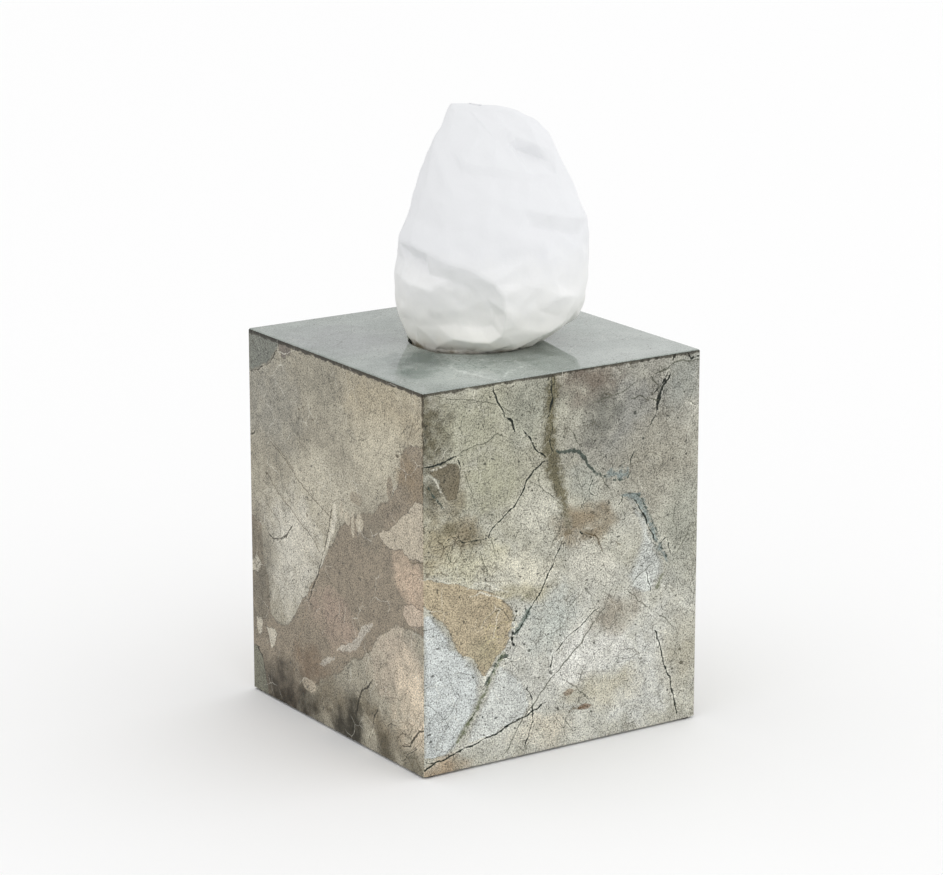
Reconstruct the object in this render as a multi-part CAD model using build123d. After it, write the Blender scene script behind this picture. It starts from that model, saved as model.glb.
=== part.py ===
from build123d import *
import os
from itertools import pairwise
from math import cos, pi, radians, sin, tan

# A square tissue cover: five stone slabs, mitred and glued into an open-bottomed box, that stands
# over an upright carton of tissues. The next tissue is drawn up through the round opening on top.
# Millimetres, +Z up, origin on the table under the middle of the cover, front slab towards -Y.

# Upright tissue carton, folded from one card blank
carton_width = 111.0
carton_depth = 111.0
carton_height = 127.0
card_thickness = 0.5
fold_radius = 0.8
flap_setback = 9.0
die_cut_end_margin = 13.5
die_cut_side_margin = 27.5

# Plastic film glued under the carton's opening, with the slit that grips the tissue
film_thickness = 0.2
film_overlap = 8.0

# Interfolded tissues, bent over into an arch to stand in the carton
stack_side_room = 3.75
stack_clearance = 0.75
stack_headroom = 15.0
leg_gap = 16.0

# Stone slabs of the cover
slab_thickness = 8.0
carton_clearance = 1.5
headroom = 18.0
opening_diameter = 50.0
arris_radius = 1.0
rim_radius = 1.2

# Felt pads under the corners of the cover
pad_thickness = 1.0
pad_inset = 1.0

# Tissue drawn up out of the slit: its neck, and the plume that stands above the slab
tissue_thickness = 0.4
tissue_clearance = 0.4
neck_length = 46.0
neck_width = 11.0
tail_length = 64.0
plume_height = 90.5
plume_left = 30.3
plume_right = 46.4
plume_half_depth = 33.0
plume_turn = -33.5
ridge_half_depth = 1.6
ridge_tilt = 12.0
pleat_count = 8
neck_pleat = 0.12
rim_pleat = 0.03

# Shape of the plume, as shares of its height, left reach, right reach and half depth, with the
# depth of its pleats as a share of their radius
plume_shape = [
    (0.055, 0.91, 0.79, 0.88, 0.10),
    (0.155, 1.00, 0.95, 0.98, 0.07),
    (0.330, 0.99, 1.00, 1.00, 0.05),
    (0.510, 0.88, 0.98, 0.90, 0.04),
    (0.690, 0.71, 0.85, 0.70, 0.04),
    (0.865, 0.52, 0.68, 0.40, 0.03),
]
ridge_left = 9.5
ridge_right = 23.0

# Places worked out from the sizes above
inside_width = carton_width + 2 * carton_clearance
inside_depth = carton_depth + 2 * carton_clearance
cover_width = inside_width + 2 * slab_thickness
cover_depth = inside_depth + 2 * slab_thickness
ceiling_z = carton_height + headroom
top_z = ceiling_z + slab_thickness
stone_height = top_z - pad_thickness
die_cut_length = carton_width - 2 * die_cut_end_margin
die_cut_width = carton_depth - 2 * die_cut_side_margin
floor_z = 2 * card_thickness
film_z = carton_height - card_thickness - film_thickness
stack_width = carton_width - 2 * (card_thickness + stack_side_room)
arch_radius = carton_depth / 2 - card_thickness - stack_clearance
arch_bore = leg_gap / 2
crown_z = film_z - stack_headroom
leg_height = crown_z - floor_z - arch_radius

STANDING = (Align.CENTER, Align.CENTER, Align.MIN)


def glued_cover():
    """The five slabs as one glued box, with eased outer edges and the opening's eased rim."""
    outside = Pos(Z=pad_thickness) * Box(cover_width, cover_depth, stone_height, align=STANDING)
    foot_edges = outside.edges().group_by(Axis.Z)[0]
    eased_edges = [edge for edge in outside.edges() if edge not in foot_edges]
    outside = fillet(eased_edges, arris_radius)
    cavity_height = ceiling_z - pad_thickness
    cavity = Pos(Z=pad_thickness) * Box(inside_width, inside_depth, cavity_height, align=STANDING)
    opening_radius = opening_diameter / 2
    opening = Pos(Z=ceiling_z) * Cylinder(opening_radius, slab_thickness, align=STANDING)
    cover = outside - cavity - opening
    rim = cover.edges().filter_by(GeomType.CIRCLE).group_by(Axis.Z)[-1]
    return fillet(rim, rim_radius)


def top_mitre():
    """Everything above the 45 degree mitres that part the top slab from the four sides."""
    overcut = 2 * slab_thickness
    inner = Plane.XY.offset(ceiling_z) * Rectangle(inside_width, inside_depth)
    outer = Plane.XY.offset(ceiling_z + overcut) * Rectangle(
        inside_width + 2 * overcut, inside_depth + 2 * overcut
    )
    return loft([inner, outer], ruled=True)


def side_mitre(span, reach):
    """Everything between two upright mitres, span apart across the cavity, from reach outwards to -Y."""
    overcut = 2 * slab_thickness
    outline = Polyline(
        (-span / 2, -reach),
        (span / 2, -reach),
        (span / 2 + overcut, -reach - overcut),
        (-span / 2 - overcut, -reach - overcut),
        close=True,
    )
    return extrude(make_face(outline), amount=top_z)


def cover_slabs():
    """The glued box parted along its mitres into its five slabs."""
    cover = glued_cover()
    above = top_mitre()
    walls = cover - above
    facing_y = side_mitre(inside_width, inside_depth / 2)
    facing_x = side_mitre(inside_depth, inside_width / 2)
    return {
        "top_slab": cover & above,
        "front_slab": walls & facing_y,
        "back_slab": walls & (Rot(Z=180) * facing_y),
        "left_slab": walls & (Rot(Z=-90) * facing_x),
        "right_slab": walls & (Rot(Z=90) * facing_x),
    }


def foot_pads():
    """Four felt discs on the mitred corners of the cover's lower edge."""
    radius = slab_thickness / 2 - pad_inset
    disc = Cylinder(radius, pad_thickness, align=STANDING)
    corners = GridLocations(cover_width - slab_thickness, cover_depth - slab_thickness, 2, 2)
    return Compound(children=[corner * disc for corner in corners])


def tissue_carton():
    """Card carton: four walls, a die-cut top and a floor of two glued layers of flaps."""
    outside = Box(carton_width, carton_depth, carton_height, align=STANDING)
    outside = fillet(outside.edges().filter_by(Axis.Z), fold_radius)
    inside = Pos(Z=floor_z) * Box(
        carton_width - 2 * card_thickness,
        carton_depth - 2 * card_thickness,
        carton_height - floor_z - card_thickness,
        align=STANDING,
    )
    die_cut = extrude(SlotOverall(die_cut_length, die_cut_width), card_thickness)
    beside_flap = Pos(Y=(carton_depth - flap_setback) / 2) * Box(
        carton_width, flap_setback, card_thickness, align=STANDING
    )
    return outside - inside - Pos(Z=carton_height - card_thickness) * die_cut - beside_flap


def slit_film():
    """Film under the carton's top, its slit pushed open by the tissue's neck."""
    sheet = Rectangle(die_cut_length + 2 * film_overlap, die_cut_width + 2 * film_overlap)
    slit = SlotOverall(neck_length + 2 * tissue_clearance, neck_width + 2 * tissue_clearance)
    return Pos(Z=film_z) * extrude(sheet - slit, film_thickness)


def tissue_stack():
    """Interfolded tissues bent over into an arch, with both ends standing on the carton's floor."""
    stack_height = leg_height + arch_radius
    block = Pos(Y=stack_height / 2) * Rectangle(2 * arch_radius, stack_height)
    legs = Pos(Y=leg_height / 2) * Rectangle(2 * arch_radius, leg_height)
    crown = Pos(Y=leg_height) * Circle(arch_radius)
    gap = Pos(Y=leg_height / 2) * Rectangle(leg_gap, leg_height) + Pos(Y=leg_height) * Circle(arch_bore)
    arch = Plane.YZ.offset(-stack_width / 2) * (block & (legs + crown) - gap)
    return Pos(Z=floor_z) * extrude(arch, stack_width)


def tissue_ring(height, left, right, half_depth, pleat, inset, turn=plume_turn, tilt=0.0):
    """Corners of one ring of the drawn tissue: every other one is pulled in by the pleat's share."""
    half_width = (left + right) / 2 - inset
    middle = (right - left) / 2
    corners = []
    for corner in range(2 * pleat_count):
        angle = pi * corner / pleat_count
        radius = 1 - pleat * (corner % 2)
        across = half_width * radius * cos(angle)
        deep = (half_depth - inset) * radius * sin(angle)
        point = Vector(middle + across, deep, height - across * tan(radians(tilt)))
        corners.append(point.rotate(Axis.Z, turn))
    return corners


def tissue_rings(inset):
    """The rings of the drawn tissue, from its tail on the stack up to the ridge of the plume."""
    opening_reach = opening_diameter / 2 - tissue_clearance
    neck_reach = (opening_reach + neck_width / 2) / 2
    rings = [
        tissue_ring(crown_z + tissue_clearance, tail_length / 2, tail_length / 2,
                    neck_width / 2, neck_pleat, inset, turn=0.0),
        tissue_ring(film_z, neck_length / 2, neck_length / 2,
                    neck_width / 2, neck_pleat, inset, turn=0.0),
        tissue_ring(ceiling_z, opening_reach, opening_reach,
                    neck_reach, neck_pleat, inset, turn=plume_turn / 2),
        tissue_ring(top_z, opening_reach, opening_reach,
                    opening_reach, rim_pleat, inset),
    ]
    for rise, left, right, depth, pleat in plume_shape:
        rings.append(
            tissue_ring(top_z + rise * plume_height, left * plume_left, right * plume_right,
                        depth * plume_half_depth, pleat, inset)
        )
    rings.append(
        tissue_ring(top_z + plume_height - inset, ridge_left, ridge_right,
                    ridge_half_depth, 0.0, inset, tilt=ridge_tilt)
    )
    return rings


def paper_facets(rings):
    """Flat triangles from each ring to the next, with the creases mirrored about every pleat."""
    facets = []
    for lower, upper in pairwise(rings):
        for corner in range(2 * pleat_count):
            following = (corner + 1) % (2 * pleat_count)
            quad = [lower[corner], lower[following], upper[following], upper[corner]]
            crease = corner % 2
            for first in (crease, crease + 2):
                triangle = [quad[(first + step) % 4] for step in range(3)]
                facets.append(Face(Wire.make_polygon(triangle)))
    return facets


def drawn_tissue():
    """The tissue as a thin shell of creased facets, open where its tail lies on the stack."""
    outside = tissue_rings(0.0)
    inside = tissue_rings(tissue_thickness)
    tail = Face(Wire.make_polygon(outside[0]), [Wire.make_polygon(inside[0])])
    ridges = [Face(Wire.make_polygon(rings[-1])) for rings in (outside, inside)]
    return Solid(Shell([*paper_facets(outside), *paper_facets(inside), *ridges, tail]))


def main():
    pieces = cover_slabs()
    pieces["foot_pads"] = foot_pads()
    pieces["tissue_carton"] = tissue_carton()
    pieces["slit_film"] = slit_film()
    pieces["tissue_stack"] = tissue_stack()
    pieces["drawn_tissue"] = drawn_tissue()
    os.makedirs("parts", exist_ok=True)
    for name, piece in pieces.items():
        export_step(piece, f"parts/{name}.step")


main()
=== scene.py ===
import math

import bmesh
import bpy
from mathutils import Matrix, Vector, geometry, noise


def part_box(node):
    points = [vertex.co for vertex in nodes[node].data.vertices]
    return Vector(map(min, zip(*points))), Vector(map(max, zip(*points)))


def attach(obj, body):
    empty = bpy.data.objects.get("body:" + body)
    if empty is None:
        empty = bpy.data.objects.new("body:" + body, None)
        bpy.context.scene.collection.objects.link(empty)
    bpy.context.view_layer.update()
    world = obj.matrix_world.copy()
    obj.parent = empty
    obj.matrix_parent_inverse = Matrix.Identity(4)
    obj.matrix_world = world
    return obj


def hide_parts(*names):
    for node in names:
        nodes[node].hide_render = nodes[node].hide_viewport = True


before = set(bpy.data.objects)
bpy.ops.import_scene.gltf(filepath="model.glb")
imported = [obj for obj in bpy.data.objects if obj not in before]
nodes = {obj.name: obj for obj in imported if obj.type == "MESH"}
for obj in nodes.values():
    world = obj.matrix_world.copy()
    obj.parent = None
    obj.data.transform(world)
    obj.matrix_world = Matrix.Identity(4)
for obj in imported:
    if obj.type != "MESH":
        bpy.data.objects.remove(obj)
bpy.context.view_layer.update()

# Cover: five slabs of natural stone, sawn thin, mitred at every edge, glued and polished.
# Each face shows the tones, patches, veins and cracks of its own cut. They are drawn in
# millimetres: across the face from its middle, and up it from the table.

# A line's curves span LINE_SPAN, and its reach is raised by BEYOND, so that it falls away past its ends.
# Beside an open crack the stone is lightened as a painted highlight, and edges wander on a fine and on a
# broad scale.
LINE_SPAN = 160.0
BEYOND = 0.05
END_TAPER = 0.6
END_FADE = 0.006
PATCH_FADE = 0.004
STEEPEST_SLANT = 3.0
CRACK_HIGHLIGHT_WIDTH = 0.9
CRACK_HIGHLIGHT_GAIN = 0.26
FINE_WANDER = 2.4
BROAD_WANDER = 22.0
FLAT = {"voronoi_dimensions": "2D"}


class Wire:
    """A value in a material's node tree. Arithmetic adds Math nodes, and node() adds any other."""

    def __init__(self, socket):
        self.socket = socket

    def node(self, kind, settings, sockets, result):
        tree = self.socket.id_data
        made = tree.nodes.new("ShaderNode" + kind)
        for name, setting in settings.items():
            if name == "track":
                points = made.mapping.curves[0].points
                points[0].location = setting[0]
                points[1].location = setting[-1]
                for spot in setting[1:-1]:
                    points.new(*spot)
                for point in points:
                    point.handle_type = "VECTOR"
                made.mapping.update()
            elif name == "stops":
                stops = made.color_ramp.elements
                stops[0].position, stops[0].color = setting[0]
                stops[1].position, stops[1].color = setting[-1]
                for position, colour in setting[1:-1]:
                    stops.new(position).color = colour
            else:
                setattr(made, name, setting)
        for name, value in sockets.items():
            socket = next(entry for entry in made.inputs if entry.identifier == name)
            if isinstance(value, Wire):
                tree.links.new(value.socket, socket)
            else:
                socket.default_value = value
        return Wire(next(entry for entry in made.outputs if entry.identifier == result))

    def math(self, operation, other=0.0, clamp=False):
        settings = {"operation": operation, "use_clamp": clamp}
        return self.node("Math", settings, {"Value": self, "Value_001": other}, "Value")

    def __add__(self, other):
        return self.math("ADD", other)

    def __sub__(self, other):
        return self.math("SUBTRACT", other)

    def __mul__(self, other):
        return self.math("MULTIPLY", other)

    def __rsub__(self, other):
        return self.math("MULTIPLY", -1.0).math("ADD", other)

    __radd__ = __add__
    __rmul__ = __mul__

    def vector(self, operation, other, result="Vector"):
        """This vector and another, through one Vector Math node."""
        sockets = {"Vector": self, "Vector_001": other}
        return self.node("VectorMath", {"operation": operation}, sockets, result)

    def scaled(self, amount):
        """This vector or colour, times a value."""
        return self.node("VectorMath", {"operation": "SCALE"}, {"Vector": self, "Scale": amount}, "Vector")

    def mix(self, other, share):
        """This colour with a share of another laid over it."""
        sockets = {"Factor_Float": share, "A_Color": self, "B_Color": other}
        return self.node("Mix", {"data_type": "RGBA"}, sockets, "Result_Color")

    def noise(self, size, detail=2.0, result="Fac"):
        """Cloudy noise about 0.5 at this place, its clouds of that size in metres."""
        sockets = {"Vector": self, "Scale": 1 / size, "Detail": detail}
        return self.node("TexNoise", {}, sockets, result)

    def seams(self, mesh):
        """How far this flat place is from the seams of a net with meshes of that size, in meshes."""
        settings = {**FLAT, "feature": "DISTANCE_TO_EDGE"}
        return self.node("TexVoronoi", settings, {"Vector": self, "Scale": 1 / mesh}, "Distance")

    def part(self, axis):
        """This vector's X, Y or Z."""
        return self.node("SeparateXYZ", {}, {"Vector": self}, axis)

    def ramp(self, *stops):
        """The colour at this value, between stops of a value and a colour each."""
        return self.node("ValToRGB", {"stops": stops}, {"Fac": self}, "Color")

    def bump(self, strength, distance):
        """The surface's direction where this value is its height."""
        sockets = {"Height": self, "Strength": strength, "Distance": distance}
        return self.node("Bump", {}, sockets, "Normal")


def shade(red, green, blue):
    """A colour as it looks on screen, from 0 to 255, as the light that it sends back."""
    light = []
    for level in (red, green, blue):
        part = level / 255
        light.append(part / 12.92 if part <= 0.04045 else ((part + 0.055) / 1.055) ** 2.4)
    return (*light, 1.0)


def new_material(name):
    """A new material, with its shader and the place on the piece that its pattern follows."""
    material = bpy.data.materials.new(name)
    material.use_nodes = True
    shader = material.node_tree.nodes["Principled BSDF"]
    place = Wire(material.node_tree.nodes.new("ShaderNodeTexCoord").outputs["Object"])
    return material, shader, place


def feed(shader, **values):
    """Set or link the shader's sockets, named as in the shader but with _ for a space."""
    for name, value in values.items():
        socket = shader.inputs[name.replace("_", " ")]
        if isinstance(value, Wire):
            shader.id_data.links.new(value.socket, socket)
        else:
            socket.default_value = value


class StoneFace:
    """One face of a slab, with the masks of what is drawn on it. Edges and lines wander a little."""

    def __init__(self, place, across, up, low):
        self.low = low
        fine = place.noise(0.0045, 3.0, "Color").vector("SUBTRACT", (0.5, 0.5, 0.5))
        broad = place.noise(0.028, 2.0, "Color").vector("SUBTRACT", (0.5, 0.5, 0.5))
        spot = place.scaled(1000.0)
        near = spot.vector("ADD", fine.scaled(FINE_WANDER))
        loose = near.vector("ADD", broad.scaled(BROAD_WANDER))
        self.near = self.flatten(near, across, up)
        self.loose = self.flatten(loose, across, up)
        self.across = self.near.part("X") * (1 / LINE_SPAN) + 0.5
        self.up = self.near.part("Y") * (1 / LINE_SPAN) + (-low / LINE_SPAN)
        self.ragged = (place.noise(0.0016, 3.0) - 0.5) * (1 / LINE_SPAN)
        self.broken = (place.noise(0.0065, 5.0) - 0.5) * 1.8
        self.spotted = (place.noise(0.0028, 6.0) - 0.5) * 2.0

    def flatten(self, spot, across, up):
        """A place in the room as a place on the face."""
        right = spot.vector("DOT_PRODUCT", across, "Value")
        above = spot.vector("DOT_PRODUCT", up, "Value")
        return right.node("CombineXYZ", {}, {"X": right, "Y": above}, "Vector")

    def track(self, points):
        """Points across and up, as shares of a line's span, with the axis that they run along."""
        shares = [(point[0] / LINE_SPAN + 0.5, (point[1] - self.low) / LINE_SPAN) for point in points]
        upright = abs(shares[-1][1] - shares[0][1]) > abs(shares[-1][0] - shares[0][0])
        return shares, upright

    def follow(self, along, track):
        """The height of a line of straight runs through its track."""
        return along.node("FloatCurve", {"track": track}, {"Value": along, "Factor": 1.0}, "Value")

    def line(self, half_width, points):
        """How far inside a line each place is, and BEYOND more. A point may give its own multiple of
        the half width."""
        shares, upright = self.track(points)
        along, side = (self.up, self.across) if upright else (self.across, self.up)
        widths = [half_width * (point[2] if len(point) == 3 else 1.0) / LINE_SPAN for point in points]
        run = sorted(
            ((up, across, width) if upright else (across, up, width))
            for (across, up), width in zip(shares, widths)
        )
        reach = []
        for index, (here, _, width) in enumerate(run):
            first = run[max(index - 1, 0)]
            last = run[min(index + 1, len(run) - 1)]
            slant = (last[1] - first[1]) / max(last[0] - first[0], 0.001)
            taper = END_TAPER if index in (0, len(run) - 1) else 1.0
            reach.append((here, BEYOND + taper * width * min(math.hypot(1.0, slant), STEEPEST_SLANT)))
        reach.insert(0, (run[0][0] - END_FADE, 0.0))
        reach.append((run[-1][0] + END_FADE, 0.0))
        offset = (side - self.follow(along, [entry[:2] for entry in run])).math("ABSOLUTE")
        return self.follow(along, reach) - offset

    def lines(self, soft, rough, runs):
        """The mask of several lines, with an edge that fades over soft millimetres and frays by rough."""
        field = self.line(*runs[0])
        for run in runs[1:]:
            field = field.math("MAXIMUM", self.line(*run))
        inside = field - BEYOND + self.ragged * rough
        # Painted highlight: the band beside the line where the stone is lightened.
        self.crack_highlight = (inside + CRACK_HIGHLIGHT_WIDTH / LINE_SPAN).math("MULTIPLY", LINE_SPAN / CRACK_HIGHLIGHT_WIDTH, clamp=True)
        return inside.math("MULTIPLY", LINE_SPAN / soft, clamp=True)

    def patch(self, soft, first, second):
        """The mask of a patch between its left and right edges, or between its lower and upper ones.
        A softer edge frays more."""
        _, upright = self.track(first)
        along, side = (self.up, self.across) if upright else (self.across, self.up)
        edges = []
        for points, beyond in ((first, 1.0), (second, 0.0)):
            shares, _ = self.track(points)
            run = sorted(((up, across) if upright else (across, up)) for across, up in shares)
            edges.append([(run[0][0] - PATCH_FADE, beyond), *run, (run[-1][0] + PATCH_FADE, beyond)])
        inside = (side - self.follow(along, edges[0])).math("MINIMUM", self.follow(along, edges[1]) - side)
        fray = self.ragged * min(2.4, 3.0 * soft - 0.6)
        return (inside + fray).math("MULTIPLY", LINE_SPAN / soft, clamp=True)

    def round(self, spot, across, up, half_across, half_up):
        """1 in the middle of an oval and 0 on its edge, less beyond it."""
        fit = spot.node("VectorMath", {"operation": "MULTIPLY_ADD"}, {
            "Vector": spot,
            "Vector_001": (1 / half_across, 1 / half_up, 0.0),
            "Vector_002": (-across / half_across, -up / half_up, 0.0),
        }, "Vector")
        return 1.0 - fit.vector("DOT_PRODUCT", fit, "Value")

    def cloud(self, *oval):
        """The mask of a soft tone, broken up by the grain."""
        return self.round(self.loose, *oval).math("ADD", self.broken, clamp=True)

    def stain(self, *oval):
        """The mask of a stain, soft at its edge and spotted."""
        return (self.round(self.loose, *oval) + self.spotted).math("MULTIPLY", 0.85, clamp=True)

    def web(self, mesh, *oval):
        """The mask of a web of fine cracks within an oval, with meshes of that size."""
        cracks = self.loose.seams(mesh) * mesh + self.ragged * (0.8 * LINE_SPAN)
        return (0.30 - cracks).math("MULTIPLY", 4.0, clamp=True) * self.cloud(*oval)

    def spot(self, *oval):
        """The mask of a small blot with a firm edge."""
        return self.round(self.near, *oval).math("MULTIPLY", 2.5, clamp=True)


# Hair cracks, as nets of seams: the size of a mesh, a hair's half width, its tone, its share, and the size
# in metres of the patches where the net shows.
HAIRS = [
    (13.0, 0.25, (66, 66, 54), 0.65, 0.019),
    (7.0, 0.23, (72, 70, 57), 0.60, 0.010),
    (3.4, 0.21, (62, 60, 50), 0.60, 0.0045),
    (10.0, 0.21, (228, 225, 212), 0.50, 0.014),
]
CRACK_TONE = 200
RIM_TONE = (66, 60, 48)
WISP_TONE = (84, 80, 66)
SPECK_TONE = (52, 50, 40)
PIT_TONE = (46, 46, 38)
CLAST_SIZE = 13.0


def polished_stone(name, ground, layers, across, up, low=0.0, gloss=0.22, grain=1.0, clasts=0.0):
    """A stone face: its ground, the layers drawn over it in turn, and the grain and pits all over. Lines
    whose tone adds up to less than CRACK_TONE are open cracks."""
    material, shader, block = new_material(name)
    place = block.node("Mapping", {"name": "cut"}, {"Vector": block}, "Vector")
    face = StoneFace(place, across, up, low)
    mottle = place.noise(0.016, 5.0)
    colour = mottle.ramp((0.35, shade(*ground[0])), (0.65, shade(*ground[1])))
    worn = None
    for kind, tone, share, *drawn in layers:
        mask = getattr(face, kind)(*drawn)
        if kind == "lines" and sum(tone) < CRACK_TONE:
            # Painted highlight: the stone beside an open crack is brightened.
            colour = colour.scaled(1.0 + face.crack_highlight * CRACK_HIGHLIGHT_GAIN)
            worn = mask if worn is None else worn.math("MAXIMUM", mask)
        colour = colour.mix(shade(*tone), mask * share)
        if kind == "patch":
            outline = mask * (1.0 - mask)
            colour = colour.mix(shade(*RIM_TONE), outline * min(2.2, 1.7 / drawn[0]))
    veil = place.noise(0.0042, 4.0)
    for mesh, half_width, hair, share, patches in HAIRS:
        shown = (place.noise(patches, 1.0) - 0.55).math("MULTIPLY", 9.0, clamp=True)
        hairs = (half_width / mesh - face.loose.seams(mesh)).math("MULTIPLY", 5 * mesh, clamp=True)
        colour = colour.mix(shade(*hair), hairs * shown * (share * grain))
    wisps = (0.010 - (place.noise(0.013, 3.0) - 0.5).math("ABSOLUTE")).math("MULTIPLY", 120.0, clamp=True)
    broken = (place.noise(0.010, 1.0) - 0.5).math("MULTIPLY", 6.0, clamp=True)
    colour = colour.mix(shade(*WISP_TONE), wisps * broken * (0.55 * grain))
    crystals = place.noise(0.00055, 0.5)
    cells = {"Vector": face.loose, "Scale": 1 / CLAST_SIZE}
    clast = place.node("TexVoronoi", FLAT, cells, "Color").vector("DOT_PRODUCT", (1.0, 0.0, 0.0), "Value")
    tone = 1.0 + (crystals - 0.5) * (1.9 * grain) + (veil - 0.5) * (0.8 * grain) + (clast - 0.5) * clasts
    colour = colour.scaled(tone)
    specks = (0.38 - crystals).math("MULTIPLY", 6.0, clamp=True)
    colour = colour.mix(shade(*SPECK_TONE), specks * (0.55 * grain))
    pits = (place.noise(0.0017, 1.0) - 0.68).math("MULTIPLY", 12.0, clamp=True)
    colour = colour.mix(shade(*PIT_TONE), pits * 0.8)
    hollow = pits * 0.6 if worn is None else pits * 0.6 + worn
    bump = (crystals * 0.12 - pits * 0.6).bump(1.6 * gloss, 0.0002)
    feed(shader, Base_Color=colour, Roughness=gloss + (veil - 0.5) * 0.12 + hollow * 0.2, Normal=bump)
    return material, shader


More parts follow.
